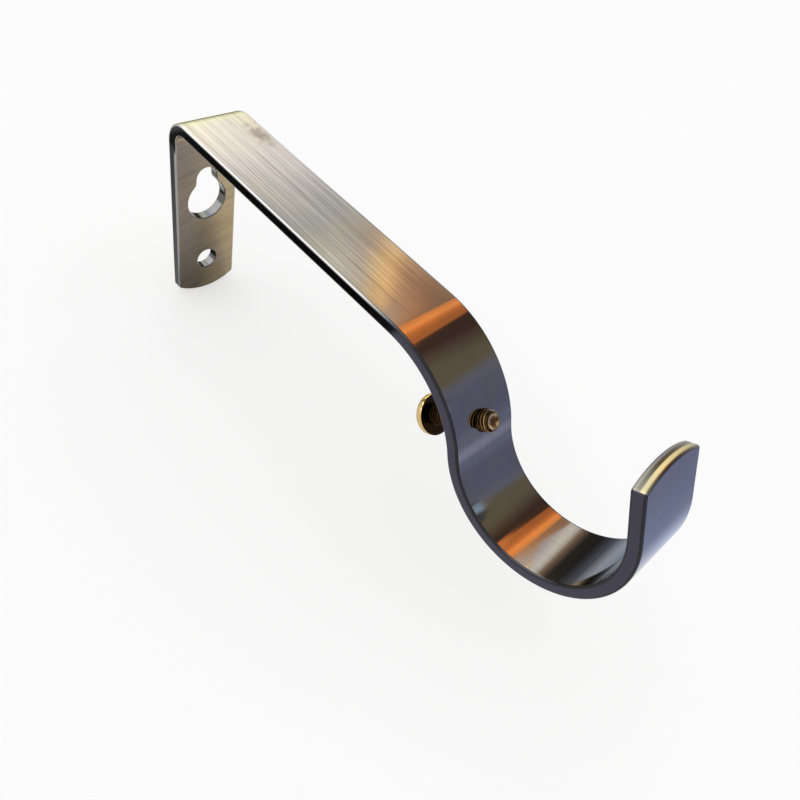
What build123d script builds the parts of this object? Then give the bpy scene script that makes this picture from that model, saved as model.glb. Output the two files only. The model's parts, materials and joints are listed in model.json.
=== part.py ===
"""Curtain pole bracket: a flat steel strap folded into a wall leg, an arm and a pole cradle,
with a locking screw threaded through the shoulder of the cradle.

Millimetres, +Z up, as mounted. The wall is the plane X = 0 and the arm reaches out along +X.
The origin is the centre of the lower fixing hole, on the wall face, at mid-width of the strap.
"""

import os
from math import asin, cos, degrees, radians, sin, sqrt

from build123d import *

# Strap stock
strap_width = 15.0
strap_thickness = 2.4
edge_round = 0.4
corner_round = 0.8

# Wall leg, measured up from its lowest point
leg_height = 45.0
leg_end_radius = 13.5
lower_hole_rise = 8.6
lower_hole_diameter = 5.0

# Keyhole, measured up from the lower fixing hole
keyhole_rise = 16.3
keyhole_diameter = 9.4
keyhole_slot_rise = 5.4
keyhole_slot_width = 5.0
keyhole_neck_round = 1.0

# Folds: radii on the inside of each bend, turns in degrees, and the wall to the pole's centre
leg_bend_radius = 3.1
pole_projection = 101.8
shoulder_radius = 21.0
shoulder_turn = 65.7
cradle_radius = 15.75
cradle_turn = 183.9
tip_length = 10.7
tip_end_radius = 18.0

# Locking screw: where it passes the shoulder, its lean from square and its reach past mid-thickness
screw_diameter = 3.9
screw_length = 14.0
screw_end_chamfer = 0.45
screw_hole_turn = 56.0
screw_lean = 7.0
screw_tip_reach = 3.5
thread_clearance = 0.05

# Pan head with a slot and a tapering cross recess
head_diameter = 8.0
head_height = 2.5
head_side = 1.4
head_round = 0.9
recess_turn = 27.0
slot_width = 1.1
slot_depth = 1.0
cross_span = 4.4
cross_wing = 1.15
cross_depth = 1.7
cross_foot_span = 2.2
cross_foot_wing = 0.8

# Worked out from the sizes above
leg_bottom = -lower_hole_rise
arm_top = leg_bottom + leg_height
bend_face_radius = leg_bend_radius + strap_thickness
shoulder_face_radius = shoulder_radius + strap_thickness
folds_reach = (shoulder_face_radius + cradle_radius) * sin(radians(shoulder_turn))
arm_straight = pole_projection - bend_face_radius - folds_reach
tip_heading = radians(cradle_turn - shoulder_turn)
screw_rise = radians(90 - screw_hole_turn + screw_lean)
screw_bearing = screw_tip_reach - screw_length
screw_crown = screw_bearing - head_height
tapped_radius = screw_diameter / 2 + thread_clearance

# Directions: across the strap, out of each end's face, and along the screw towards its tip
across = (0, 1, 0)
out_of_leg = (-1, 0, 0)
out_of_tip = (sin(tip_heading), 0, -cos(tip_heading))
along_screw = (cos(screw_rise), 0, sin(screw_rise))
beside_screw = (sin(screw_rise), 0, -cos(screw_rise))


def end_trim(end_plane, end_radius):
    """What is cut away to leave an arc at one end; the plane's origin is the end's outermost point."""
    end_rise = end_radius - sqrt(end_radius**2 - (strap_width / 2) ** 2)
    with BuildSketch(end_plane) as trim:
        with Locations((0, -end_rise)):
            Rectangle(2 * strap_width, end_rise + strap_width, align=(Align.CENTER, Align.MIN))
        with Locations((0, -end_radius)):
            Circle(end_radius, mode=Mode.SUBTRACT)
    return trim.sketch


def edges_through(strap):
    """The straight edges that cross the strap's thickness at its corners."""
    straight_edges = strap.edges().filter_by(GeomType.LINE) - strap.edges().filter_by(Axis.Y)
    return straight_edges.filter_by(lambda edge: abs(edge.length - strap_thickness) < 0.001)


# The strap's wall face, top face and cradle face are one line in side view, with its thickness below
with BuildPart() as bracket_strap:
    with BuildSketch(Plane.XZ):
        with BuildLine():
            leg = Line((0, leg_bottom), (0, arm_top - bend_face_radius))
            bend = JernArc(leg @ 1, leg % 1, bend_face_radius, -90)
            arm = Line(bend @ 1, bend @ 1 + (arm_straight, 0))
            shoulder = JernArc(arm @ 1, arm % 1, shoulder_face_radius, -shoulder_turn)
            cradle = JernArc(shoulder @ 1, shoulder % 1, cradle_radius, cradle_turn)
            tip = Line(cradle @ 1, cradle @ 1 + (cradle % 1) * tip_length)
            offset(amount=strap_thickness, side=Side.RIGHT)
        make_face()
    extrude(amount=strap_width / 2, both=True)

    # Rounded ends, then soft corners and rims
    leg_end = Plane((0, 0, leg_bottom), x_dir=across, z_dir=out_of_leg)
    tip_end = Plane(((tip @ 1).X, 0, (tip @ 1).Y), x_dir=across, z_dir=out_of_tip)
    extrude(end_trim(leg_end, leg_end_radius), amount=2 * strap_thickness, both=True, mode=Mode.SUBTRACT)
    extrude(end_trim(tip_end, tip_end_radius), amount=2 * strap_thickness, both=True, mode=Mode.SUBTRACT)
    fillet(edges_through(bracket_strap), corner_round)
    fold_seams = bracket_strap.edges().filter_by(Axis.Y)
    rims = bracket_strap.edges() - fold_seams - edges_through(bracket_strap)
    fillet(rims, edge_round)

    # Lower fixing hole and keyhole, punched through the wall leg
    with BuildSketch(Plane.YZ) as fixings:
        Circle(lower_hole_diameter / 2)
        with Locations((0, keyhole_rise)):
            Circle(keyhole_diameter / 2)
            Rectangle(keyhole_slot_width, keyhole_slot_rise, align=(Align.CENTER, Align.MIN))
        necks = fixings.vertices().group_by(Axis.Y)[-2]
        fillet(necks, keyhole_neck_round)
        with Locations((0, keyhole_rise + keyhole_slot_rise)):
            Circle(keyhole_slot_width / 2)
    extrude(amount=strap_thickness, mode=Mode.SUBTRACT)

    # Tapped hole for the locking screw, at mid-thickness of the shoulder
    shoulder_face = shoulder @ (screw_hole_turn / shoulder_turn)
    shoulder_square = Vector(0, 1).rotate(Axis.Z, -screw_hole_turn)
    screw_place = shoulder_face - shoulder_square * (strap_thickness / 2)
    screw_origin = (screw_place.X, 0, screw_place.Y)
    screw_plane = Plane(screw_origin, x_dir=across, z_dir=along_screw)
    with Locations(screw_plane.offset(strap_thickness)):
        Hole(tapped_radius, depth=2 * strap_thickness)

# The locking screw is turned to a profile of radius against place along the screw
with BuildPart() as pole_locking_screw:
    shank_radius = screw_diameter / 2
    head_radius = head_diameter / 2
    dome_rise = head_height - head_side
    dome_radius = (head_radius**2 + dome_rise**2) / (2 * dome_rise)
    with BuildSketch(Plane(screw_origin, x_dir=across, z_dir=beside_screw)) as turned:
        with BuildLine():
            dome = JernArc((0, screw_crown), (1, 0), dome_radius, degrees(asin(head_radius / dome_radius)))
            Polyline(
                dome @ 1,
                (head_radius, screw_bearing),
                (shank_radius, screw_bearing),
                (shank_radius, screw_tip_reach - screw_end_chamfer),
                (shank_radius - screw_end_chamfer, screw_tip_reach),
                (0, screw_tip_reach),
                (0, screw_crown),
            )
        make_face()
        dome_corner = turned.vertices().group_by(Axis.X)[-1].sort_by(Axis.Y)[0]
        fillet(dome_corner, head_round)
    revolve(axis=Axis(screw_origin, along_screw))

    # A slot across the head, and a cross recess that narrows towards its foot
    crown_plane = screw_plane.offset(screw_crown).rotated((0, 0, recess_turn))
    with BuildSketch(crown_plane):
        Rectangle(slot_width, 2 * head_diameter)
    extrude(amount=slot_depth, mode=Mode.SUBTRACT)
    with BuildSketch(crown_plane):
        Rectangle(cross_span, cross_wing)
        Rectangle(cross_wing, cross_span)
    with BuildSketch(crown_plane.offset(cross_depth)):
        Rectangle(cross_foot_span, cross_foot_wing)
        Rectangle(cross_foot_wing, cross_foot_span)
    loft(mode=Mode.SUBTRACT)

bracket_strap.part.label = "bracket_strap"
pole_locking_screw.part.label = "pole_locking_screw"

os.makedirs("parts", exist_ok=True)
export_step(bracket_strap.part, "parts/bracket_strap.step")
export_step(pole_locking_screw.part, "parts/pole_locking_screw.step")
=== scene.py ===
# %% [markdown]
# # A curtain pole bracket in antique brass plate
# The real bracket is one flat steel strap, brushed and plated, folded into a wall leg, an arm and a cradle
# for the pole. A small brass screw runs through the shoulder of the cradle and locks the pole.
# Both pieces are made here as a workshop makes them: the strap is cut flat, punched, thickened and folded,
# and the screw is turned, threaded and slotted. Lengths are in millimetres until a piece is finished.

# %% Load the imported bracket
import json
from cmath import exp
from math import acos, atan2, cos, hypot, pi, radians, sin, sqrt, tan

import bmesh
import bpy
from mathutils import Matrix, Vector


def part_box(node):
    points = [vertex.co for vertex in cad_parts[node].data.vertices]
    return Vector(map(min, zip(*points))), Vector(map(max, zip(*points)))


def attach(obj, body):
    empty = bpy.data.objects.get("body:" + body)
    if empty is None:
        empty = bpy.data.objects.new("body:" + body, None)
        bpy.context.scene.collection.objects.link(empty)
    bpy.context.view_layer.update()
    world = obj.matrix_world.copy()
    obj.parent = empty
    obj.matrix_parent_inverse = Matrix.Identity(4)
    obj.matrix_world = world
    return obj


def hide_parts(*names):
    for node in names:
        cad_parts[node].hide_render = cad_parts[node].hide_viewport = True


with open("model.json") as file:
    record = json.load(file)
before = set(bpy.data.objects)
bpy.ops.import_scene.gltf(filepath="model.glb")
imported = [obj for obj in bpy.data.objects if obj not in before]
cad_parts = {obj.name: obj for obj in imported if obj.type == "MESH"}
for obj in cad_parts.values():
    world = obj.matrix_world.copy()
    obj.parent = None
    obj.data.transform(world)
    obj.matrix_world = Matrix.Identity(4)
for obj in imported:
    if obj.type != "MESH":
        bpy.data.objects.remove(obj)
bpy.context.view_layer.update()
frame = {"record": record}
scene = bpy.context.scene
scene.view_settings.view_transform = "Standard"
MM = 0.001
mounts = {mount["name"]: mount for mount in frame["record"]["mounts"]}
strap_low, strap_high = (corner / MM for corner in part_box("bracket_strap"))
print("strap reaches from", strap_low, "to", strap_high)

# %% [markdown]
# ## The camera
# The bracket is seen from above its cradle and close by, so the wall leg looks small and far away. A wide
# lens near the object gives that, where a long lens from further off would flatten it. The camera is placed
# first, because every later step is judged through it. The picture is a little tilted, so the camera rolls.

# %% Camera
camera_place = Vector((115.86, -75.02, 110.97))
gaze_azimuth = radians(30.79)
gaze_drop = radians(50.71)
camera_roll = radians(20.68)
lens_length = 30.5
sensor_width = 36.0
picture_drop = 0.05
nearest_seen = 5.0

camera_data = bpy.data.cameras.new("camera")
camera_data.sensor_width = sensor_width
camera_data.lens = lens_length
camera_data.shift_y = picture_drop
camera_data.clip_start = nearest_seen * MM
camera = bpy.data.objects.new("camera", camera_data)
scene.collection.objects.link(camera)
heading = Matrix.Rotation(gaze_azimuth, 4, "Z")
pitch = Matrix.Rotation(pi / 2 - gaze_drop, 4, "X")
roll = Matrix.Rotation(camera_roll, 4, "Z")
camera.matrix_world = Matrix.Translation(camera_place * MM) @ heading @ pitch @ roll
scene.camera = camera
print("camera looks along", camera.matrix_world.to_3x3() @ Vector((0, 0, -1)))

# %% [markdown]
# ## The floor and the light
# The ground is plain and nearly white, and so is the sky, which is a soft light from all sides at a level
# where a colour shows about as it is written. The foot of the leg just touches the floor. To the eye and in
# reflections the floor also glows a little, so that it fades into the sky and still keeps the shadow.

# %% Floor and sky
floor_half = 2.0
floor_colour = (0.95, 0.95, 0.95, 1.0)
floor_roughness = 0.9
floor_glow = 0.5
sky_colour = (1.0, 1.0, 1.0, 1.0)


def new_material(name):
    """A new material, its tree and its shader."""
    material = bpy.data.materials.new(name)
    material.use_nodes = True
    return material, material.node_tree, material.node_tree.nodes["Principled BSDF"]


def fill(tree, node, inputs):
    """Fills inputs of a node: one that gets a socket is linked, any other is set."""
    for name, value in inputs.items():
        if isinstance(value, bpy.types.NodeSocket):
            tree.links.new(value, node.inputs[name])
        else:
            node.inputs[name].default_value = value


def wired(tree, kind, inputs=None, **settings):
    """Adds a shader node, fills its inputs and gives its outputs."""
    made = tree.nodes.new("ShaderNode" + kind)
    for name, value in settings.items():
        setattr(made, name, value)
    fill(tree, made, inputs or {})
    return made.outputs


def maths(tree, operation, *values, kind="Math", **settings):
    """The result of one sum on numbers, or on vectors where the kind is VectorMath."""
    return wired(tree, kind, dict(enumerate(values)), operation=operation, **settings)[0]


def finished(bm, name, materials):
    """Turns a bmesh into an object at the origin, smooth and with its materials."""
    for face in bm.faces:
        face.smooth = True
    mesh = bpy.data.meshes.new(name)
    bm.to_mesh(mesh)
    bm.free()
    for material in materials:
        mesh.materials.append(material)
    made = bpy.data.objects.new(name, mesh)
    scene.collection.objects.link(made)
    return made


floor_finish, floor_tree, floor_shader = new_material("pale_floor")
floor_values = {"Base Color": floor_colour, "Roughness": floor_roughness, "Specular IOR Level": 0.0}
fill(floor_tree, floor_shader, floor_values)
rays = wired(floor_tree, "LightPath")
seen = rays["Is Camera Ray"]
for kind in ("Is Glossy Ray", "Is Transmission Ray"):
    seen = maths(floor_tree, "MAXIMUM", seen, rays[kind])
share = maths(floor_tree, "MULTIPLY", seen, floor_glow)
white = wired(floor_tree, "Emission")[0]
ground = wired(floor_tree, "MixShader", {"Fac": share, 1: floor_shader.outputs[0], 2: white})
fill(floor_tree, floor_tree.nodes["Material Output"], {"Surface": ground[0]})

floor_mesh = bmesh.new()
bmesh.ops.create_grid(floor_mesh, x_segments=1, y_segments=1, size=floor_half)
bmesh.ops.translate(floor_mesh, vec=(0, 0, strap_low.z * MM), verts=floor_mesh.verts)
floor = finished(floor_mesh, "floor", [floor_finish])

sky = bpy.data.worlds.new("soft_sky")
scene.world = sky
sky.use_nodes = True
fill(sky.node_tree, sky.node_tree.nodes["Background"], {"Color": sky_colour, "Strength": 1.0})
print(f"floor lies at {strap_low.z:.1f} mm")

# %% [markdown]
# ## Folding
# A strap keeps the length of its middle line when it is folded. So each run is written as a length along
# that line and a turn: straight runs turn by nothing. Walking along the runs with a complex number for the
# place and one for the heading gives the folded place of any point of the flat blank.

# %% Runs of the strap
strap_width = strap_high.y - strap_low.y
strap_thickness = mounts["lower_fixing_hole"]["dims"]["length_mm"]
half_thickness = strap_thickness / 2
leg_height = 45.0
lower_hole_rise = 8.6
bend_inside = 3.1
shoulder_inside = 21.0
cradle_inside = 15.75
bend_turn = radians(90)
shoulder_turn = radians(65.7)
cradle_turn = radians(183.9)
tip_length = 10.7
bend_radius = bend_inside + half_thickness
shoulder_radius = shoulder_inside + half_thickness
cradle_radius = cradle_inside + half_thickness
pole_projection = mounts["pole_seat"]["pos_m"][0] / MM
bend_reach = bend_radius + half_thickness
leg_straight = leg_height - bend_reach
arm_straight = pole_projection - bend_reach - (shoulder_radius + cradle_radius) * sin(shoulder_turn)

folds = [
    (leg_straight, 0.0),
    (bend_radius * bend_turn, -bend_turn),
    (arm_straight, 0.0),
    (shoulder_radius * shoulder_turn, -shoulder_turn),
    (cradle_radius * cradle_turn, cradle_turn),
    (tip_length, 0.0),
]
blank_length = sum(length for length, turn in folds)
arm_start = leg_straight + bend_radius * bend_turn
shoulder_start = arm_start + arm_straight
print(f"flat blank {blank_length:.1f} by {strap_width:.1f} by {strap_thickness:.1f} mm")


def folded(flat):
    """The folded place of a point of the blank: x along it, y across it, z above its middle."""
    place = complex(half_thickness, -lower_hole_rise)
    heading = 1j
    left = flat.x
    for length, turn in folds:
        step = min(left, length)
        swing = exp(1j * turn * step / length)
        if turn:
            place += 1j * heading * (1 - swing) * length / turn
        else:
            place += heading * step
        heading *= swing
        left -= step
    spot = place + 1j * heading * flat.z
    return Vector((spot.real, flat.y, spot.imag))


# %% [markdown]
# ## The flat blank
# The blank is a long grid, fine enough to bend smoothly. Its rows near each end are drawn in so that the
# end becomes an arc, and the four corners are bevelled at their vertices. A Boolean cut would do the same,
# but it leaves faces with many corners, which bend badly.

# %% Cut the blank
cells_along = 316
cells_across = 24
leg_end_radius = 13.5
tip_end_radius = 18.0
corner_round = 0.45
corner_steps = 3
end_rows_held = 1.25
end_rows_drawn = 4.5

strap = bmesh.new()
bmesh.ops.create_grid(strap, x_segments=cells_along, y_segments=cells_across, size=0.5)
bmesh.ops.translate(strap, vec=(0.5, 0, 0), verts=strap.verts)
bmesh.ops.scale(strap, vec=(blank_length, strap_width, 1), verts=strap.verts)


def round_end(bm, end, inward, radius):
    """Draws the rows near one end inwards along an arc; the last rows keep their spacing."""
    for vert in bm.verts:
        depth = (vert.co.x - end) * inward
        bow = radius - sqrt(radius**2 - vert.co.y**2)
        share = (end_rows_drawn - depth) / (end_rows_drawn - end_rows_held)
        vert.co.x += inward * bow * min(max(share, 0.0), 1.0)


def soften(bm, parts, size, steps, affect):
    """Rounds corners or edges with a bevel."""
    bmesh.ops.bevel(
        bm, geom=parts, offset=size, segments=steps, profile=0.5, affect=affect, material=-1
    )


round_end(strap, 0.0, 1, leg_end_radius)
round_end(strap, blank_length, -1, tip_end_radius)
corners = [vert for vert in strap.verts if len(vert.link_edges) == 2]
soften(strap, corners, corner_round, corner_steps, "VERTICES")
print("blank has", len(strap.faces), "cells")

# %% [markdown]
# ## Punched holes
# The leg has a round hole for the lower screw and a keyhole to hang the bracket on a screw head. The
# shoulder has the tapped hole. To punch one, the cells around it are deleted and the border of the gap is
# extruded inwards to the outline, which is written as a reach for each angle about the hole's centre.

# %% Punch the holes
lower_hole_place = lower_hole_rise
lower_hole_radius = mounts["lower_fixing_hole"]["dims"]["r_mm"]
keyhole_place = lower_hole_rise + mounts["keyhole_entry"]["pos_m"][2] / MM
keyhole_radius = mounts["keyhole_entry"]["dims"]["r_mm"]
keyhole_slot_rise = (mounts["keyhole_seat"]["pos_m"][2] - mounts["keyhole_entry"]["pos_m"][2]) / MM
keyhole_slot_radius = 2.5
keyhole_neck_sharpness = 11
screw_hole_turn = radians(56.0)
screw_hole_place = shoulder_start + shoulder_radius * screw_hole_turn
screw_hole_radius = 2.0
rim_margin = 0.5

# How far cells are cleared below, above and beside the centre of each hole
lower_hole_window = (3.7, 3.7, 3.7)
keyhole_window = (6.2, 9.4, 6.0)
screw_hole_window = (3.4, 3.4, 3.4)


def keyhole_reach(angle):
    """How far the keyhole's edge lies from the centre of its round part; angle 0 points up the slot."""
    across = abs(sin(angle))
    if cos(angle) <= 0:
        slot = 0.0
    elif across * keyhole_slot_rise < keyhole_slot_radius * cos(angle):
        slot = keyhole_slot_rise * cos(angle)
        slot += sqrt(keyhole_slot_radius**2 - (keyhole_slot_rise * across) ** 2)
    else:
        slot = keyhole_slot_radius / across
    power = keyhole_neck_sharpness
    return (keyhole_radius**power + slot**power) ** (1 / power)


def extruded(bm, border):
    """Extrudes a border of edges once and gives its new vertices and the new border."""
    drawn = bmesh.ops.extrude_edge_only(bm, edges=border)["geom"]
    ring = [part for part in drawn if isinstance(part, bmesh.types.BMVert)]
    return ring, [part for part in drawn if isinstance(part, bmesh.types.BMEdge) and part.is_boundary]


def punch(bm, place, window, reach):
    """Opens a hole at a place along the blank: the window of cells goes, and its border is drawn in."""
    below, above, beside = window
    cleared = []
    for face in bm.faces:
        middle = face.calc_center_median()
        if place - below < middle.x < place + above and abs(middle.y) < beside:
            cleared.append(face)
    border = [edge for face in cleared for edge in face.edges if set(edge.link_faces) - set(cleared)]
    bmesh.ops.delete(bm, geom=cleared, context="FACES")
    for margin in (rim_margin, 0.0):
        ring, border = extruded(bm, border)
        for vert in ring:
            angle = atan2(vert.co.y, vert.co.x - place)
            far = reach(angle) + margin
            vert.co = Vector((place + far * cos(angle), far * sin(angle), 0))


punch(strap, lower_hole_place, lower_hole_window, lambda angle: lower_hole_radius)
punch(strap, keyhole_place, keyhole_window, keyhole_reach)
punch(strap, screw_hole_place, screw_hole_window, lambda angle: screw_hole_radius)
print("punched blank has", len(strap.faces), "cells")

# %% [markdown]
# ## Thickness and soft rims
# The sheet gets its thickness with solidify. The outer rims are rounded by tumbling before plating, so they
# get a wide bevel, and the punched holes keep a fine one.

# %% Thicken the blank and round its rims
edge_round = 0.4
edge_steps = 4
hole_round = 0.15
hole_steps = 2
hole_margin = 1.0
level_within = 0.001
rim_angle = radians(60)
holes = [
    (lower_hole_place, lower_hole_radius + hole_margin),
    (keyhole_place + keyhole_slot_rise / 2, keyhole_radius + keyhole_slot_rise / 2 + hole_margin),
    (screw_hole_place, screw_hole_radius + hole_margin),
]


def by_a_hole(spot):
    """True for a spot on the wall or the rim of a punched hole."""
    inside = abs(spot.y) < keyhole_radius + rim_margin
    return inside and any(abs(spot.x - place) < reach for place, reach in holes)


def edge_middle(edge):
    """The middle of an edge."""
    return (edge.verts[0].co + edge.verts[1].co) / 2


def face_outwards(bm):
    """Turns all faces of a body outwards."""
    bmesh.ops.recalc_face_normals(bm, faces=bm.faces)


face_outwards(strap)
bmesh.ops.solidify(strap, geom=strap.faces[:], thickness=strap_thickness)
lowest = min(vert.co.z for vert in strap.verts)
bmesh.ops.translate(strap, vec=(0, 0, -half_thickness - lowest), verts=strap.verts)
face_outwards(strap)

level_rims = []
for edge in strap.edges:
    level = abs(edge.verts[0].co.z - edge.verts[1].co.z) < level_within
    if level and edge.calc_face_angle(0.0) > rim_angle:
        level_rims.append(edge)
outer_rims = [edge for edge in level_rims if not by_a_hole(edge_middle(edge))]
hole_rims = [edge for edge in level_rims if by_a_hole(edge_middle(edge))]
soften(strap, outer_rims, edge_round, edge_steps, "EDGES")
soften(strap, hole_rims, hole_round, hole_steps, "EDGES")
print("rims bevelled:", len(outer_rims), "outer and", len(hole_rims), "at holes")

# %% [markdown]
# ## Sides, map and fold
# Each side of the strap has its own finish, so the faces are sorted by the way they point while the blank
# is still flat. A hair-wide inset on the flats and the walls keeps them flat right up to the bevels: without
# it the shading would bulge. The flat place of every corner, in millimetres, becomes the UV map: the grain
# of the brushing then follows the strap round its folds, as on the real one. Only then is it folded. The
# tapped hole is first leaned and narrowed, so that after the fold it is round about the leaning screw.

# %% Sort, map and fold
SHOW_SIDE, UNDER_SIDE, WALL, RIM, END, HOLE = range(6)
flat_facing = 0.99
wall_facing = 0.05
mostly = 0.5
flat_support = 0.05
end_depth = 4.0
screw_lean = radians(7.0)


def side_of(face):
    """Which finish a face of the flat strap takes."""
    up = face.normal.z
    middle = face.calc_center_median()
    along = middle.x
    if abs(up) > flat_facing:
        return SHOW_SIDE if up > 0 else UNDER_SIDE
    if min(along, blank_length - along) < end_depth and abs(face.normal.x) > abs(face.normal.y):
        return END
    if by_a_hole(middle):
        return HOLE
    return WALL if abs(up) < wall_facing else RIM


def open_edges(bm):
    """How many edges don't join two faces: a closed body has none."""
    return sum(not edge.is_manifold for edge in bm.edges)


strap.normal_update()
for face in strap.faces:
    face.material_index = side_of(face)
for side in (SHOW_SIDE, UNDER_SIDE, WALL, END, HOLE):
    flats = [face for face in strap.faces if face.material_index == side]
    if side in (END, HOLE):
        flats = [face for face in flats if abs(face.normal.z) < wall_facing]
    bmesh.ops.inset_region(strap, faces=flats, thickness=flat_support, use_even_offset=True)

flat_map = strap.loops.layers.uv.new("flat_mm")
for face in strap.faces:
    for corner in face.loops:
        spot = corner.vert.co
        if abs(face.normal.z) > mostly:
            corner[flat_map].uv = spot.xy
        elif abs(face.normal.y) > mostly:
            corner[flat_map].uv = spot.xz
        else:
            corner[flat_map].uv = spot.yz

through = strap.verts.layers.float.new("through")
for vert in strap.verts:
    vert[through] = vert.co.z / strap_thickness + 0.5
    if hypot(vert.co.x - screw_hole_place, vert.co.y) < screw_hole_radius + rim_margin / 2:
        leaning = vert.co.x - screw_hole_place - vert.co.z * tan(screw_lean)
        vert.co.x = screw_hole_place + leaning * shoulder_radius / (shoulder_radius + vert.co.z)
for vert in strap.verts:
    vert.co = folded(vert.co)
bmesh.ops.scale(strap, vec=(MM, MM, MM), verts=strap.verts)
face_outwards(strap)
print("folded strap:", len(strap.faces), "faces,", open_edges(strap), "open edges")

# %% [markdown]
# ## Brushed grain
# The strap is brushed before it is plated, which leaves long, very fine scratches that catch the light as
# streaks. The same grain runs along one side and across the other, so it is a node group: a noise that is
# stretched along the streak, once fine and once in broader bands. It reads the flat map, in millimetres.

# %% Node group for the grain
streak_detail = 4.0
band_detail = 2.0
grain_roughness = 0.6


def group(name, inputs, outputs):
    """A new shader node group; inputs and outputs are pairs of a name and a kind of socket."""
    tree = bpy.data.node_groups.new(name, "ShaderNodeTree")
    for socket, kind in inputs:
        tree.interface.new_socket(socket, in_out="INPUT", socket_type="NodeSocket" + kind)
    for socket, kind in outputs:
        tree.interface.new_socket(socket, in_out="OUTPUT", socket_type="NodeSocket" + kind)
    return tree, tree.nodes.new("NodeGroupInput").outputs, tree.nodes.new("NodeGroupOutput").inputs


def noise(tree, place, scale, detail, **more):
    """A noise over a place, from 0 to 1."""
    return wired(tree, "TexNoise", {"Vector": place, "Scale": scale, "Detail": detail, **more})["Fac"]


grain, given, put_out = group(
    "brushed_grain",
    [("Flat place", "Vector"), ("Streak size", "Vector"), ("Band size", "Vector")],
    [("Streaks", "Float"), ("Bands", "Float")],
)
for size, result, detail in (("Streak size", "Streaks", streak_detail), ("Band size", "Bands", band_detail)):
    stretched = maths(grain, "DIVIDE", given["Flat place"], given[size], kind="VectorMath")
    brushed = noise(grain, stretched, 1.0, detail, Roughness=grain_roughness)
    grain.links.new(brushed, put_out[result])
print("grain group has", len(grain.nodes), "nodes")

# %% [markdown]
# ## Antique plate
# Antique plate is brass that was darkened and then relieved: rubbed back so that the high streaks are pale
# and the low ones stay brown. Soft clouds of yellow and of grey violet come from uneven darkening. The
# group blends two colours by the grain, and lays both clouds over them, as much as each side asks for.

# %% Node group for the plate
yellow_cloud = (0.40, 0.31, 0.15, 1.0)
violet_cloud = (0.20, 0.178, 0.18, 1.0)
violet_shift = 0.31
cloud_size = 0.012
cloud_detail = 3.0
cloud_from = 0.45
cloud_full = 0.70


def blended(tree, factor, first, second, kind="RGBA", **settings):
    """Mixes two colours, or two numbers, by a factor."""
    inputs = {"Factor": factor, "A": first, "B": second}
    return wired(tree, "Mix", inputs, data_type=kind, **settings)["Result"]


def mapped(tree, value, low, high, start=0.0, end=1.0, kind="LINEAR"):
    """Maps a value from one range to another and holds it there."""
    ranges = {"Value": value, "From Min": low, "From Max": high, "To Min": start, "To Max": end}
    return wired(tree, "MapRange", ranges, interpolation_type=kind)["Result"]


plate, given, put_out = group(
    "antique_plate",
    [("Grain", "Float"), ("Dark", "Color"), ("Pale", "Color"), ("Clouding", "Float")],
    [("Colour", "Color")],
)
place = wired(plate, "TexCoord")["Object"]
clouded = blended(plate, given["Grain"], given["Dark"], given["Pale"])
for cloud_colour, shift in ((yellow_cloud, 0.0), (violet_cloud, violet_shift)):
    shifted = wired(plate, "Mapping", {"Vector": place, "Location": (shift, shift, shift)})
    cloud = noise(plate, shifted["Vector"], 1 / cloud_size, cloud_detail)
    cover = maths(plate, "MULTIPLY", mapped(plate, cloud, cloud_from, cloud_full), given["Clouding"])
    clouded = blended(plate, cover, clouded, cloud_colour)
plate.links.new(clouded, put_out["Colour"])
print("plate group has", len(plate.nodes), "nodes")

# %% [markdown]
# ## Finishes of the strap
# The show side is brushed along the strap and is polished smoother from the shoulder on, so the cradle
# mirrors the room while the arm only glows. The underside is brushed across. The cut walls keep the dark
# film, because no brush reaches them. So do the walls of the holes, where the punch left it shiny. Along the
# leg and the arm the cut walls are darkened further, as a painted dark reflection. On the polished stretch
# they are brightened and tinted blue, as a painted cool reflection. On the rounded rims the film is rubbed
# through to pale metal; on the polished stretch the rims are darkened to a tenth, as painted shade.
# Each side is a class that states only what differs. A pair of values belongs to the brushed stretch and to
# the polished one.

# %% How each side is finished
unshaded = (1.0, 1.0, 1.0, 1.0)


class Side:
    """How one side of the strap is brushed and plated; sizes in millimetres, turn in degrees."""

    streaks = (28.0, 0.32, 1.0)
    bands = (80.0, 2.0, 1.0)
    grain_turn = 0.0
    contrast = (3.2, 0.5)
    shade = (unshaded, unshaded)
    dark = (0.19, 0.162, 0.122, 1.0)
    pale = (0.465, 0.402, 0.308, 1.0)
    clouding = 0.25
    roughness = (0.13, 0.085)
    anisotropy = 0.5
    anisotropy_turn = 0.25
    relief = 0.10
    smudge = None


class ShowSide(Side):
    """Wall face, top of the arm and inside of the cradle, with a brown smudge near the bend."""

    smudge = (arm_start + 7.0, 5.4, 5.8, 2.6)


class UnderSide(Side):
    """Front of the leg, bottom of the arm and outside of the cradle."""

    streaks = (1.1, 22.0, 1.0)
    bands = (5.0, 40.0, 1.0)
    grain_turn = 14.0
    contrast = (1.7, 0.8)
    shade = (unshaded, (1.12, 1.12, 1.03, 1.0))
    dark = (0.185, 0.160, 0.138, 1.0)
    pale = (0.375, 0.328, 0.262, 1.0)
    clouding = 0.3
    roughness = (0.24, 0.17)
    anisotropy = 0.3
    anisotropy_turn = 0.0


class CutWall(Side):
    """The long edges."""

    contrast = (0.8, 0.6)
    # Shade: a painted dark reflection along the leg and arm, and a painted cool blue reflection on the
    # polished stretch.
    shade = ((0.35, 0.35, 0.36, 1.0), (1.08, 1.10, 1.26, 1.0))
    dark = (0.036, 0.034, 0.040, 1.0)
    pale = (0.070, 0.066, 0.081, 1.0)
    clouding = 0.0
    roughness = (0.20, 0.20)
    anisotropy = 0.0
    relief = 0.04


class PunchedHole(CutWall):
    """The walls of the holes and their fine rims."""

    shade = Side.shade
    dark = (0.090, 0.087, 0.086, 1.0)
    pale = (0.170, 0.165, 0.163, 1.0)
    roughness = (0.15, 0.15)


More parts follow.
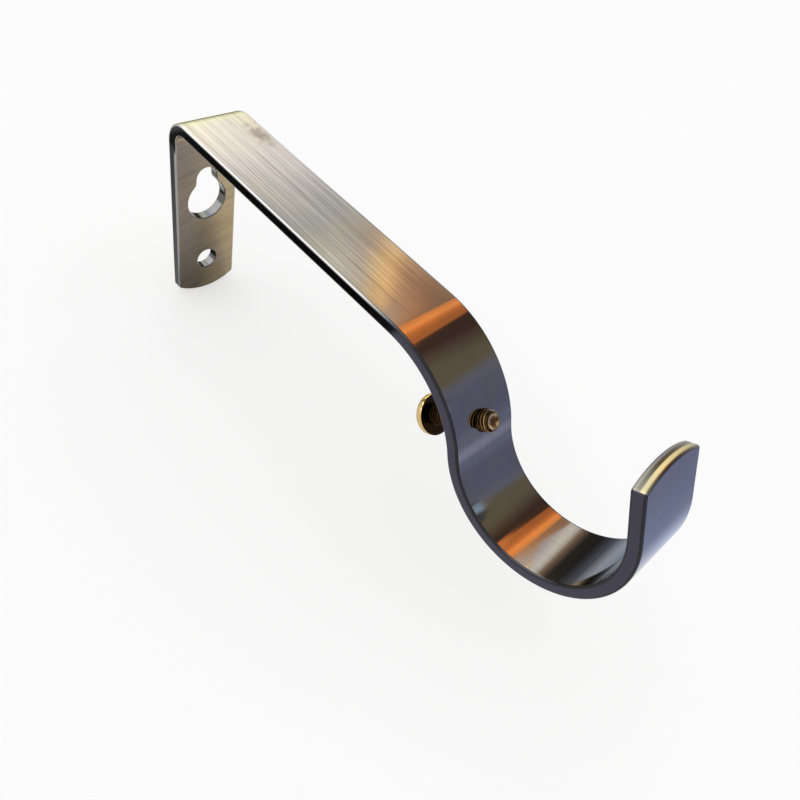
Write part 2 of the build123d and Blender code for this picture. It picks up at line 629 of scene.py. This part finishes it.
class RubbedRim(Side):
    """The rounded rims between faces and walls."""

    contrast = (0.8, 0.8)
    # Shade: on the polished stretch the rims are darkened to a tenth, which is painted shade.
    shade = (unshaded, (0.10, 0.10, 0.12, 1.0))
    dark = (0.24, 0.235, 0.225, 1.0)
    pale = (0.42, 0.41, 0.39, 1.0)
    clouding = 0.0
    roughness = (0.16, 0.16)
    anisotropy = 0.0
    relief = 0.0


print("sides with a finish of their own:", len(Side.__subclasses__() + CutWall.__subclasses__()))

# %% [markdown]
# ## A smudge near the bend
# The arm has a brown stain near the bend, left by the darkening bath. A painted picture could give it, but
# only for this one strap. Here the distance from the stain's middle is made ragged with a noise and turned
# into a soft mask, so a place and a reach on the flat map are all that it needs.

# %% Smudge
smudge_brown = (0.12, 0.085, 0.055, 1.0)
smudge_cover = 0.9
smudge_noise = 0.6
smudge_detail = 5.0
smudge_raggedness = 1.6
smudge_full = 0.75
smudge_gone = 1.75


def smudged(tree, flat_place, colour, smudge):
    """Lays a soft, uneven brown smudge over a colour; smudge is its place and reach on the flat map."""
    along, across, reach_along, reach_across = smudge
    centred = maths(tree, "SUBTRACT", flat_place, (along, across, 0), kind="VectorMath")
    shrunk = maths(tree, "DIVIDE", centred, (reach_along, reach_across, 1), kind="VectorMath")
    far = wired(tree, "VectorMath", {0: shrunk}, operation="LENGTH")["Value"]
    ragged = noise(tree, flat_place, smudge_noise, smudge_detail)
    edge = maths(tree, "MULTIPLY_ADD", ragged, smudge_raggedness, far)
    mask = mapped(tree, edge, smudge_gone, smudge_full, end=smudge_cover, kind="SMOOTHSTEP")
    return blended(tree, mask, colour, smudge_brown)


print("smudge lies", ShowSide.smudge[0], "mm along the blank")

# %% [markdown]
# ## One material for each side
# All the sides are made in the same steps: the grain gives a tone, the plate colours it, the smudge and the
# shade go over that, and the scratches stand up a little as a bump. One function can do it, with the side's
# class for its values. What differs between brushed and polished fades along the flat map. A value that is
# the same all over is set on the shader itself, because an export reads it there.

# %% Materials of the sides
polish_start = shoulder_start - 10.0
polish_end = shoulder_start + 2.0
band_share = 0.3
middle_grain = 0.5
scratch_depth = 0.02


def plated(name, side):
    """The material of one side: its grain, its colour and a gloss that goes from brushed to polished."""
    material, tree, shader = new_material(name)
    direction = wired(tree, "Tangent", direction_type="UV_MAP", uv_map="flat_mm")
    fill(tree, shader, {
        "Metallic": 1.0,
        "Roughness": side.roughness[0],
        "Anisotropic": side.anisotropy,
        "Anisotropic Rotation": side.anisotropy_turn,
        "Tangent": direction[0],
    })

    flat_place = wired(tree, "UVMap", uv_map="flat_mm")["UV"]
    along = wired(tree, "SeparateXYZ", {0: flat_place})["X"]
    polish = mapped(tree, along, polish_start, polish_end, kind="SMOOTHSTEP")
    contrast = blended(tree, polish, *side.contrast, kind="FLOAT")

    turn = {"Vector": flat_place, "Rotation": (0, 0, radians(side.grain_turn))}
    turned_place = wired(tree, "Mapping", turn)["Vector"]
    brushing = {"Flat place": turned_place, "Streak size": side.streaks, "Band size": side.bands}
    scratches = wired(tree, "Group", brushing, node_tree=grain)
    both = blended(tree, band_share, scratches["Streaks"], scratches["Bands"], kind="FLOAT")
    centred = maths(tree, "SUBTRACT", both, middle_grain)
    tone = maths(tree, "MULTIPLY_ADD", centred, contrast, middle_grain, use_clamp=True)

    coat = {"Grain": tone, "Dark": side.dark, "Pale": side.pale, "Clouding": side.clouding}
    colour = wired(tree, "Group", coat, node_tree=plate)["Colour"]
    if side.smudge:
        colour = smudged(tree, flat_place, colour, side.smudge)
    # The shade multiplies the colour; on the cut walls and the rims it paints shade and reflection.
    if side.shade != Side.shade:
        shade = blended(tree, polish, *side.shade)
        colour = blended(tree, 1.0, colour, shade, blend_type="MULTIPLY")
    fill(tree, shader, {"Base Color": colour})
    if side.roughness[0] != side.roughness[1]:
        fill(tree, shader, {"Roughness": blended(tree, polish, *side.roughness, kind="FLOAT")})
    if side.relief:
        height = maths(tree, "MULTIPLY", scratches["Streaks"], contrast)
        relief = {"Strength": side.relief, "Distance": scratch_depth * MM, "Height": height}
        fill(tree, shader, {"Normal": wired(tree, "Bump", relief)["Normal"]})
    return material


show_finish = plated("show_side", ShowSide)
under_finish = plated("under_side", UnderSide)
wall_finish = plated("cut_wall", CutWall)
rim_finish = plated("rubbed_rim", RubbedRim)
hole_finish = plated("punched_hole", PunchedHole)
print("show side's material has", len(show_finish.node_tree.nodes), "nodes")

# %% [markdown]
# ## Sheared ends
# The two ends were cut off by shearing. The shear leaves a smooth band, a dark line where the steel tore,
# and a dull pale band. The band of bright brass is partly worn brass and partly a painted highlight of the
# rounded outer edge of the end. The bands run through the thickness, so the material reads how far through
# the strap a point lies, which was kept as an attribute of the blank. Hands wear the middle most.

# %% Material of the ends
# The bright brass band paints a highlight of the rounded outer edge over the real shear bands.
shear_bands_and_highlight = [
    (0.00, (0.10, 0.075, 0.038)),
    (0.10, (0.16, 0.12, 0.055)),
    (0.20, (0.60, 0.48, 0.22)),
    (0.40, (0.62, 0.50, 0.22)),
    (0.48, (0.07, 0.053, 0.024)),
    (0.64, (0.055, 0.043, 0.025)),
    (0.76, (0.21, 0.195, 0.16)),
    (0.90, (0.23, 0.215, 0.18)),
    (1.00, (0.10, 0.09, 0.075)),
]
end_dull = (0.24, 0.23, 0.19, 1.0)
end_roughness = 0.36
worn_within = 1.5
unworn_from = 7.2
unworn_share = 0.55


def colour_run(tree, share, stops):
    """A run of colours over a share from 0 to 1; a stop is a position and a colour."""
    run = tree.nodes.new("ShaderNodeValToRGB")
    elements = run.color_ramp.elements
    while len(elements) < len(stops):
        elements.new(0.5)
    for element, (position, colour) in zip(elements, stops):
        element.position = position
        element.color = (*colour[:3], 1.0)
    tree.links.new(share, run.inputs["Fac"])
    return run.outputs["Color"]


end_finish, end_tree, end_shader = new_material("sheared_end_and_highlight")
depth_through = wired(end_tree, "Attribute", attribute_name="through")["Fac"]
shear_and_highlight = colour_run(end_tree, depth_through, shear_bands_and_highlight)
end_place = wired(end_tree, "TexCoord")["Object"]
across_end = wired(end_tree, "SeparateXYZ", {0: end_place})["Y"]
off_middle = maths(end_tree, "ABSOLUTE", across_end)
unworn = mapped(
    end_tree, off_middle, worn_within * MM, unworn_from * MM, end=unworn_share, kind="SMOOTHSTEP"
)
end_colour = blended(end_tree, unworn, shear_and_highlight, end_dull)
fill(end_tree, end_shader, {"Metallic": 1.0, "Roughness": end_roughness, "Base Color": end_colour})
print("end finish has", len(shear_bands_and_highlight), "bands")

# %% [markdown]
# ## The finished strap
# A face's material number is the place of its side in the list of finishes, so the list keeps the order of
# the sides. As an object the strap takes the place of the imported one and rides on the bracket's body.

# %% Finish the strap
strap_finishes = [show_finish, under_finish, wall_finish, rim_finish, end_finish, hole_finish]
plated_strap = finished(strap, "plated_strap", strap_finishes)
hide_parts("bracket_strap")
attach(plated_strap, "bracket")
print("strap has", len(plated_strap.data.polygons), "faces and", len(strap_finishes), "finishes")

# %% [markdown]
# ## The locking screw
# A machine screw is rolled: one ridge winds along the shank. So the thread is one tooth, drawn as four
# short edges, spun about the axis with a rise of one pitch each turn. Neighbouring turns meet and are
# merged. Planes cut the ends square, and the first turn is turned down to a chamfer.

# %% Thread
shank_radius = 1.95
thread_pitch = 0.7
thread_depth = 0.40
crest_width = 0.10
root_width = 0.14
tip_reach = 3.5
screw_length = 14.0
tip_chamfer = 0.45
bearing = tip_reach - screw_length
steps_a_turn = 48
spare_turns = 4
thread_seam = 0.003

screw = bmesh.new()
tooth = [
    (shank_radius - thread_depth, 0.0),
    (shank_radius - thread_depth, root_width),
    (shank_radius, (thread_pitch + root_width - crest_width) / 2),
    (shank_radius, (thread_pitch + root_width + crest_width) / 2),
    (shank_radius - thread_depth, thread_pitch),
]


def drawn_line(bm, points):
    """Vertices and edges through points of a turned outline: radius, then place along the axis."""
    verts = [bm.verts.new((radius, 0, along)) for radius, along in points]
    return verts + [bm.edges.new(pair) for pair in zip(verts, verts[1:])]


turns = int(screw_length / thread_pitch) + spare_turns
bmesh.ops.spin(
    screw,
    geom=drawn_line(screw, tooth),
    cent=(0, 0, 0),
    axis=(0, 0, 1),
    dvec=(0, 0, thread_pitch / steps_a_turn),
    angle=2 * pi * turns,
    steps=turns * steps_a_turn,
    use_merge=False,
)
bmesh.ops.translate(screw, vec=(0, 0, bearing - spare_turns / 2 * thread_pitch), verts=screw.verts)
bmesh.ops.remove_doubles(screw, verts=screw.verts, dist=thread_seam)
for end, outwards in ((bearing, -1), (tip_reach, 1)):
    whole = screw.verts[:] + screw.edges[:] + screw.faces[:]
    bmesh.ops.bisect_plane(
        screw, geom=whole, plane_co=(0, 0, end), plane_no=(0, 0, outwards), clear_outer=True
    )
for vert in screw.verts:
    radius = hypot(vert.co.x, vert.co.y)
    turned = shank_radius - max(0.0, vert.co.z - tip_reach + tip_chamfer)
    if radius > turned:
        vert.co.x *= turned / radius
        vert.co.y *= turned / radius
print("thread has", len(screw.faces), "faces over", round(screw_length / thread_pitch), "turns")

# %% [markdown]
# ## The pan head
# The head is turned: a flat bearing face, a short side and a low dome, with a round between side and dome.
# Its outline is spun once round. The thread's last loop is then bridged to the inner ring of the bearing
# face. At the tip the last loop is extruded ring by ring into the shallow dish that thread rolling leaves,
# and then closed, so that the screw is one closed body.

# %% Head
head_radius = 4.0
head_height = 2.5
head_side = 1.4
head_round = 0.9
bearing_edge = [(2.5, 0.0), (3.2, 0.0), (3.88, 0.0), (3.97, 0.04), (head_radius, 0.12)]
tip_dish = [(1.42, 0.0), (1.2, 0.10), (0.9, 0.24), (0.5, 0.33), (0.15, 0.36)]
round_steps = 8
dome_steps = 12
head_steps = 72
head_seam = 0.0005
dome_rise = head_height - head_side
dome_radius = (head_radius**2 + dome_rise**2) / (2 * dome_rise)
dome_middle = head_height - dome_radius
round_radius = head_radius - head_round
round_rise = dome_middle + sqrt((dome_radius - head_round) ** 2 - round_radius**2)
round_lean = acos(round_radius / (dome_radius - head_round))

head_outline = list(bearing_edge)
for step in range(round_steps + 1):
    lean = round_lean * step / round_steps
    head_outline.append((round_radius + head_round * cos(lean), round_rise + head_round * sin(lean)))
for step in range(1, dome_steps + 1):
    lean = round_lean + (pi / 2 - round_lean) * step / dome_steps
    head_outline.append((max(0.0, dome_radius * cos(lean)), dome_middle + dome_radius * sin(lean)))

head = bmesh.new()
outline = drawn_line(head, [(radius, bearing - rise) for radius, rise in head_outline])
bmesh.ops.spin(
    head, geom=outline, cent=(0, 0, 0), axis=(0, 0, 1), angle=2 * pi, steps=head_steps, use_merge=True
)
bmesh.ops.remove_doubles(head, verts=head.verts, dist=head_seam)
head_mesh = bpy.data.meshes.new("head_blank")
head.to_mesh(head_mesh)
head.free()
screw.from_mesh(head_mesh)
bpy.data.meshes.remove(head_mesh)

hair = 0.01
at_bearing = []
at_tip = []
for edge in screw.edges:
    if edge.is_boundary:
        near_head = abs(edge_middle(edge).z - bearing) < hair
        (at_bearing if near_head else at_tip).append(edge)
bmesh.ops.bridge_loops(screw, edges=at_bearing)
for ring_radius, sink in tip_dish:
    ring, at_tip = extruded(screw, at_tip)
    for vert in ring:
        angle = atan2(vert.co.y, vert.co.x)
        vert.co = Vector((ring_radius * cos(angle), ring_radius * sin(angle), tip_reach - sink))
bmesh.ops.contextual_create(screw, geom=at_tip)
face_outwards(screw)
print("screw has", len(screw.faces), "faces,", open_edges(screw), "open edges")

# %% [markdown]
# ## The recess
# The head has a slot right across and a cross recess that narrows downwards, so that two kinds of driver
# fit. They are pressed into the head, which a Boolean cut shows well: the cutter is one cube for the slot
# and two tapered ones for the cross. The cut faces keep the cutter's material number, for a darker finish.

# %% Cut the recess
recess_turn = radians(27.0)
slot_width = 1.1
slot_depth = 1.0
cross_top = (4.4, 1.15)
cross_foot = (2.2, 0.8)
cross_depth = 1.7
crown = bearing - head_height
slot_cutter = (slot_width, 20.0)
slot_cutter_rise = 1.0
cross_cutter_rise = 0.6
RECESS = 1


def tapered_block(top, foot, rise, depth):
    """A block that stands from above the crown down to a depth, with its own size at crown and foot."""
    block = bmesh.new()
    bmesh.ops.create_cube(block, size=1.0)
    for vert in block.verts:
        deep = vert.co.z > 0
        along = depth if deep else -rise
        share = along / depth
        size = [here + (there - here) * share for here, there in zip(top, foot)]
        vert.co = Vector((vert.co.x * size[0], vert.co.y * size[1], crown + along))
    for face in block.faces:
        face.material_index = RECESS
    bmesh.ops.rotate(block, cent=(0, 0, 0), matrix=Matrix.Rotation(recess_turn, 3, "Z"), verts=block.verts)
    face_outwards(block)
    return block


screw_blank = finished(screw, "screw_blank", [])
blocks = [
    tapered_block(slot_cutter, slot_cutter, slot_cutter_rise, slot_depth),
    tapered_block(cross_top, cross_foot, cross_cutter_rise, cross_depth),
    tapered_block(cross_top[::-1], cross_foot[::-1], cross_cutter_rise, cross_depth),
]
cutters = [finished(block, "cutter", []) for block in blocks]
for cutter in cutters:
    cut = screw_blank.modifiers.new("cut", "BOOLEAN")
    cut.object = cutter
    cut.operation = "DIFFERENCE"
    cut.solver = "EXACT"
evaluated = screw_blank.evaluated_get(bpy.context.evaluated_depsgraph_get())
cut_mesh = bpy.data.meshes.new_from_object(evaluated)
screw = bmesh.new()
screw.from_mesh(cut_mesh)
bpy.data.meshes.remove(cut_mesh)
for used in (*cutters, screw_blank):
    bpy.data.objects.remove(used)
cut_faces = sum(face.material_index == RECESS for face in screw.faces)
print("recess has", cut_faces, "faces;", open_edges(screw), "open edges")

# %% [markdown]
# ## How deep the film and the painted shade lie
# The screw is plain brass under a thin film, which stays where no rubbing reaches. It goes from bright
# through brown to dull in the root of the thread and in the recess. The dull bearing face and the darker
# thread between the head and the strap and just outside the hole are partly film and partly painted shade,
# which falls there. The tip has a bright ring about a brown dish. How deep a point lies is kept as an
# attribute of the mesh, because the screw leans in the strap and no axis of the object runs along it. A map
# of radius and place along the axis serves the rings of the lathe.

# %% Depth of the film and painted shade
brown_film = 0.19
full_film = 0.32
bearing_film_and_shade = 0.9
bearing_skin = 0.03
tip_film = 0.22
film_and_shade_by_strap = 0.25
strap_dark_ends_at = half_thickness + 0.5
strap_dark_fades_over = 0.9
dish_rim = tip_dish[0][0]

depth_layer = screw.verts.layers.float.new("depth")
for vert in screw.verts:
    radius = hypot(vert.co.x, vert.co.y)
    if all(face.material_index == RECESS for face in vert.link_faces):
        vert[depth_layer] = (vert.co.z - crown) / cross_depth
    elif vert.co.z > tip_reach - tip_chamfer and radius < dish_rim + hair:
        vert[depth_layer] = tip_film * min(2 - 2 * radius / dish_rim, 1.0)
    elif vert.co.z > bearing + hair:
        # Near the strap and the head the thread gets extra film that is partly painted shade.
        past_strap_dark = min(max((vert.co.z - strap_dark_ends_at) / strap_dark_fades_over, 0.0), 1.0)
        vert[depth_layer] = (shank_radius - radius) / thread_depth + film_and_shade_by_strap * (1 - past_strap_dark)
    # The bearing face under the head is dull, partly film and partly painted shade.
    elif vert.co.z > bearing - bearing_skin:
        vert[depth_layer] = bearing_film_and_shade
axis_map = screw.loops.layers.uv.new("turned_mm")
for face in screw.faces:
    for corner in face.loops:
        spot = corner.vert.co
        corner[axis_map].uv = (hypot(spot.x, spot.y), spot.z)
filmed = sum(vert[depth_layer] > full_film for vert in screw.verts)
print("fully filmed vertices:", filmed, "of", len(screw.verts))

# %% [markdown]
# ## Brass
# One function makes both brasses. The recess starts from a worn brown tone, because the press and the driver
# have worn it. The lathe's fine rings show as small changes of gloss. At last the screw is turned into the
# lean that it has in the strap, moved to its hole and scaled to metres.

# %% Brass finish
bright_brass = (0.64, 0.47, 0.21, 1.0)
worn_brass = (0.26, 0.18, 0.09, 1.0)
brown_brass = (0.24, 0.105, 0.033, 1.0)
dull_brass = (0.05, 0.033, 0.018, 1.0)
turned_roughness = 0.22
recess_roughness = 0.35
gloss_spread = 0.3
ring_scale = 9.0
ring_detail = 3.0
sharp_angle = radians(35)
screw_rise = pi / 2 - screw_hole_turn + screw_lean
screw_centre = folded(Vector((screw_hole_place, 0, 0)))


def brass(name, bright, roughness):
    """Turned brass, brown and then dull where the depth is high: deep film, and painted shade by the strap
    and under the head.
    """
    material, tree, shader = new_material(name)
    deep = wired(tree, "Attribute", attribute_name="depth")["Fac"]
    film = colour_run(tree, deep, [(0.0, bright), (brown_film, brown_brass), (full_film, dull_brass)])
    rings_place = wired(tree, "UVMap", uv_map="turned_mm")["UV"]
    rings = noise(tree, rings_place, ring_scale, ring_detail)
    smoothest = roughness * (1 - gloss_spread)
    roughest = roughness * (1 + gloss_spread)
    gloss = mapped(tree, rings, 0.0, 1.0, smoothest, roughest)
    fill(tree, shader, {"Metallic": 1.0, "Base Color": film, "Roughness": gloss})
    return material


screw_finish = brass("turned_brass", bright_brass, turned_roughness)
recess_finish = brass("recess_brass", worn_brass, recess_roughness)

screw_stance = Matrix((
    (0, -sin(screw_rise), cos(screw_rise)),
    (1, 0, 0),
    (0, cos(screw_rise), sin(screw_rise)),
))
bmesh.ops.transform(screw, matrix=screw_stance.to_4x4(), verts=screw.verts)
bmesh.ops.translate(screw, vec=screw_centre, verts=screw.verts)
bmesh.ops.scale(screw, vec=(MM, MM, MM), verts=screw.verts)
turned_screw = finished(screw, "turned_screw", [screw_finish, recess_finish])
turned_screw.data.set_sharp_from_angle(angle=sharp_angle)
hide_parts("pole_locking_screw")
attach(turned_screw, "locking_screw")
print("screw has", len(turned_screw.data.polygons), "faces")

# %% [markdown]
# ## Studio cards
# Polished metal shows what stands around it, so a studio sets cards about it: pale ones to brighten, warm
# and cool ones to colour, black ones to give a curve its dark edge. These are curved sheets that glow in a
# run of colours, and sheets that lie on the floor. Only reflections see them: they throw no light or shadow
# on the floor and hide nothing. A painted strap would look wrong from every other side.

# %% Making a card
UPWARDS, SIDEWAYS = "Y", "X"
card_cells = (24, 8)
floor_gap = 0.2
cards = []


def glowing(name, bm, run, colours):
    """Makes a card of a sheet: a run of colours over its map, seen only in reflections."""
    level = max(value for position, colour in colours for value in colour)
    stops = [(position, [value / level for value in colour]) for position, colour in colours]
    glow, tree, shader = new_material(name)
    tree.nodes.remove(shader)
    place = wired(tree, "UVMap", uv_map="run")["UV"]
    along = wired(tree, "SeparateXYZ", {0: place})[run]
    shades = colour_run(tree, along, stops)
    lamp = wired(tree, "Emission", {"Color": shades, "Strength": level})[0]
    fill(tree, tree.nodes["Material Output"], {"Surface": lamp})
    card = finished(bm, name, [glow])
    for ray in ("camera", "diffuse", "shadow", "transmission", "volume_scatter"):
        setattr(card, f"visible_{ray}", False)
    cards.append(card)


def even(*colour):
    """The same colour all over a card."""
    return [(0.0, colour), (1.0, colour)]


card_black = even(0.05, 0.05, 0.05)


def sheet_with_map(slant=0.0):
    """A unit sheet with a map from 0 to 1 both ways; a slant tips its run to the far side."""
    sheet = bmesh.new()
    bmesh.ops.create_grid(sheet, x_segments=card_cells[0], y_segments=card_cells[1], size=0.5)
    run = sheet.loops.layers.uv.new("run")
    for face in sheet.faces:
        for corner in face.loops:
            place = corner.vert.co
            along = place.x * (1 - slant) + place.y * slant
            corner[run].uv = (along + 0.5, place.y + 0.5)
    return sheet


def curved_card(name, centre, azimuths, elevations, distance, colours, run=SIDEWAYS, leans=(0.0, 0.0)):
    """A card curved about a centre; azimuth 0 is straight behind, and leans tip its sides to the left."""
    sheet = sheet_with_map()
    for vert in sheet.verts:
        height = (elevations[1] - elevations[0]) * vert.co.y
        elevation = radians((elevations[0] + elevations[1]) / 2 + height)
        left = azimuths[0] - leans[0] * height
        right = azimuths[1] - leans[1] * height
        azimuth = radians(left + (right - left) * (vert.co.x + 0.5))
        outwards = Vector((sin(azimuth) * cos(elevation), cos(azimuth) * cos(elevation), sin(elevation)))
        vert.co = (Vector(centre) + outwards * distance) * MM
    glowing(name, sheet, run, colours)


def ground_card(name, near_left, near_right, far_left, far_right, colours, slant=0.0, lift=floor_gap):
    """A level card between four corners, on the floor unless it is lifted; its colours run to the right."""
    sheet = sheet_with_map(slant)
    for vert in sheet.verts:
        right, far = vert.co.x + 0.5, vert.co.y + 0.5
        near = Vector(near_left).lerp(Vector(near_right), right)
        back = Vector(far_left).lerp(Vector(far_right), right)
        vert.co = Vector((*near.lerp(back, far), strap_low.z + lift)) * MM
    glowing(name, sheet, SIDEWAYS, colours)


print("a card has", card_cells[0] * card_cells[1], "cells")

# %% [markdown]
# ## Cards that stand
# Each card is placed by the direction in which one part of the bracket sees it. Softboxes brighten the bend,
# the arm and the hole walls. Tan, brown and orange cards warm the end of the arm and the bowl of the cradle.
# The black flag and the cool panel follow on the shoulder, and the strip, the grey card and the blue chip
# draw the streaks inside the bowl.

# %% Standing cards
over_arm = (60.0, 0.0, 36.0)
on_arm = (52.0, 0.0, 36.0)
over_cradle = (92.0, 0.0, 25.0)
by_bend = (5.0, 0.0, 33.0)
in_cradle = (108.0, 0.0, 18.0)
in_keyhole = (1.0, 0.0, 10.0)
curved_card("bend_softbox", by_bend, (-90, -46), (-24, 30.5), 100, [
    (0.0, (0.3, 0.28, 0.13)), (0.29, (0.32, 0.3, 0.14)), (0.45, (1.1, 1.1, 0.8)),
    (0.64, (1.7, 1.8, 1.4)), (0.83, (2.5, 2.7, 2.3)), (1.0, (2.6, 2.75, 2.55)),
], run=UPWARDS)
curved_card("pale_softbox", over_arm, (-100, -25), (18, 50), 930, [
    (0.0, (2.7, 2.9, 2.8)), (0.44, (2.65, 2.78, 2.95)), (0.46, (2.5, 2.58, 2.85)),
    (0.49, (2.15, 2.17, 2.6)), (0.52, (1.81, 1.9, 2.26)), (0.59, (1.71, 1.81, 2.1)),
    (0.625, (1.32, 1.47, 1.73)), (0.7, (1.02, 1.17, 1.42)), (0.74, (0.88, 1.0, 1.16)),
    (0.78, (0.97, 1.1, 1.27)), (0.82, (1.59, 1.7, 1.75)), (1.0, (1.6, 1.7, 1.7)),
], leans=(2.0, 2.0))
curved_card("front_softbox", over_arm, (-170, -101), (8, 72), 900, even(3.2, 3.2, 3.2))
curved_card("tan_card", on_arm, (-40.0, -35.6), (34, 43), 250, [
    (0.0, (1.5, 1.22, 0.68)), (0.35, (1.95, 1.42, 0.75)), (0.7, (2.3, 1.55, 0.8)),
    (1.0, (2.1, 1.35, 0.7)),
])
curved_card("brown_card", over_arm, (-39.7, -16.2), (34, 50), 910, [
    (0.0, (1.02, 1.1, 1.32)), (0.085, (1.08, 1.08, 1.25)), (0.16, (1.2, 0.82, 0.62)),
    (0.26, (1.15, 0.66, 0.42)), (0.36, (0.9, 0.47, 0.3)), (0.44, (0.66, 0.42, 0.3)),
    (1.0, (0.62, 0.36, 0.25)),
], leans=(-0.8, -0.8))
curved_card("orange_card", over_arm, (-34, -5.5), (38, 64), 900, [
    (0.0, (1.7, 0.68, 0.25)), (0.11, (1.75, 0.7, 0.26)), (0.375, (2.35, 0.86, 0.28)),
    (0.57, (1.4, 0.48, 0.16)), (0.8, (0.97, 0.34, 0.12)), (1.0, (1.0, 0.35, 0.13)),
], leans=(0.8, -0.6))
curved_card("orange_top", over_arm, (-14, 0), (53.6, 60), 895, [
    (0.0, (1.8, 0.62, 0.21)), (1.0, (1.6, 0.55, 0.19)),
])
curved_card("black_flag", over_cradle, (-16, 62), (28, 70), 940, [
    (0.0, (0.1, 0.062, 0.055)), (0.26, (0.12, 0.08, 0.075)), (0.36, (0.18, 0.14, 0.13)),
    (0.54, (0.28, 0.26, 0.23)), (1.0, (0.28, 0.27, 0.24)),
])
curved_card("cool_panel", over_cradle, (26, 85), (-2, 36.5), 880, [
    (0.0, (0.25, 0.31, 0.61)), (0.18, (0.23, 0.28, 0.52)), (0.7, (0.24, 0.29, 0.54)),
    (0.86, (0.28, 0.33, 0.58)), (1.0, (0.28, 0.285, 0.3)),
], run=UPWARDS)
curved_card("black_strip", in_cradle, (-57, -37.5), (-8, 28), 150, [
    (0.0, (0.12, 0.14, 0.22)), (0.25, (0.04, 0.042, 0.05)), (0.6, (0.045, 0.045, 0.045)),
    (0.76, (0.34, 0.25, 0.2)), (0.83, (0.6, 0.47, 0.4)), (0.89, (1.15, 1.13, 1.2)),
    (1.0, (1.45, 1.58, 1.8)),
], run=UPWARDS)
curved_card("grey_card", in_cradle, (-47.9, -37.5), (28, 39), 150, [
    (0.0, (1.45, 1.58, 1.8)), (0.31, (1.3, 1.35, 1.6)), (0.65, (1.0, 1.0, 1.25)),
    (1.0, (0.87, 0.8, 0.98)),
], run=UPWARDS, leans=(-1.62, 0.0))
curved_card("blue_chip", in_cradle, (31.5, 37.5), (36, 54), 60, [
    (0.0, (0.15, 0.17, 0.27)), (0.1, (0.1, 0.13, 0.22)), (0.2, (0.5, 0.85, 1.5)),
    (0.5, (0.55, 0.9, 1.6)), (0.62, (0.1, 0.12, 0.2)), (0.9, (0.07, 0.09, 0.15)),
    (1.0, (0.3, 0.25, 0.22)),
], run=UPWARDS, leans=(1.16, 0.75))
curved_card("black_side", in_keyhole, (-48, -33), (-10, 20), 95, card_black)
print("standing cards:", len(cards))

# %% [markdown]
# ## Cards on the floor
# The leg, the cut walls, the outside of the tip and the low part of the shoulder look down, so they mirror
# the floor. A black sheet behind the leg darkens the hole walls, and one that hangs just before the arm,
# below its edge, keeps the cut wall there black. The sheets under the arm go from dull to warm across the
# leg, and share their edges, so that no white line shows. The cool and blue ones give the cradle its slate.

# %% Floor cards
flag_lift = 35.6
ground_card("arm_flag", (-8, -20), (62, -20), (-8, -10.5), (62, -10.5), card_black, lift=flag_lift)
ground_card("black_ground", (-60, -42.5), (-4, -6.4), (-60, -32.5), (-4, 3.6), even(0.03, 0.03, 0.03))
ground_card("under_arm", (2.6, -16), (62, -16), (2.6, -2.5), (62, 35.44), [
    (0.0, (0.26, 0.24, 0.2)), (0.17, (0.37, 0.365, 0.4)), (0.36, (0.64, 0.62, 0.63)),
    (0.61, (0.8, 0.71, 0.68)), (0.8, (0.64, 0.61, 0.68)), (1.0, (0.65, 0.62, 0.66)),
])
ground_card("between_ground", (2.6, -2.5), (48, 26.5), (2.6, 6), (48, 32), [
    (0.0, (0.28, 0.26, 0.21)), (0.25, (0.44, 0.41, 0.33)), (0.5, (0.63, 0.58, 0.49)),
    (0.65, (0.88, 0.8, 0.64)), (1.0, (1.6, 1.45, 1.05)),
], slant=0.6)
ground_card("warm_ground", (2.6, 6), (48, 32), (2.6, 28), (40, 48), [
    (0.0, (1.0, 0.92, 0.72)), (0.4, (1.35, 1.22, 0.86)), (1.0, (1.75, 1.6, 1.15)),
])
ground_card("cool_ground", (-60, 105), (106, 14), (-40, 190), (118, 80), [
    (0.0, (0.15, 0.18, 0.28)), (0.45, (0.15, 0.18, 0.28)), (0.62, (0.34, 0.42, 0.62)),
    (0.79, (0.58, 0.72, 1.0)), (0.88, (0.42, 0.53, 0.74)), (0.94, (0.2, 0.24, 0.36)),
])
ground_card("blue_ground", (154, 12), (1500, 700), (122, 44), (900, 1400), [
    (0.0, (0.88, 0.95, 1.15)), (0.017, (0.64, 0.75, 1.13)), (0.033, (0.44, 0.54, 0.94)),
    (0.05, (0.38, 0.47, 0.86)), (0.065, (0.29, 0.355, 0.64)), (0.13, (0.285, 0.355, 0.665)),
    (0.24, (0.27, 0.34, 0.63)), (1.0, (0.25, 0.31, 0.59)),
])
print("cards in all:", len(cards))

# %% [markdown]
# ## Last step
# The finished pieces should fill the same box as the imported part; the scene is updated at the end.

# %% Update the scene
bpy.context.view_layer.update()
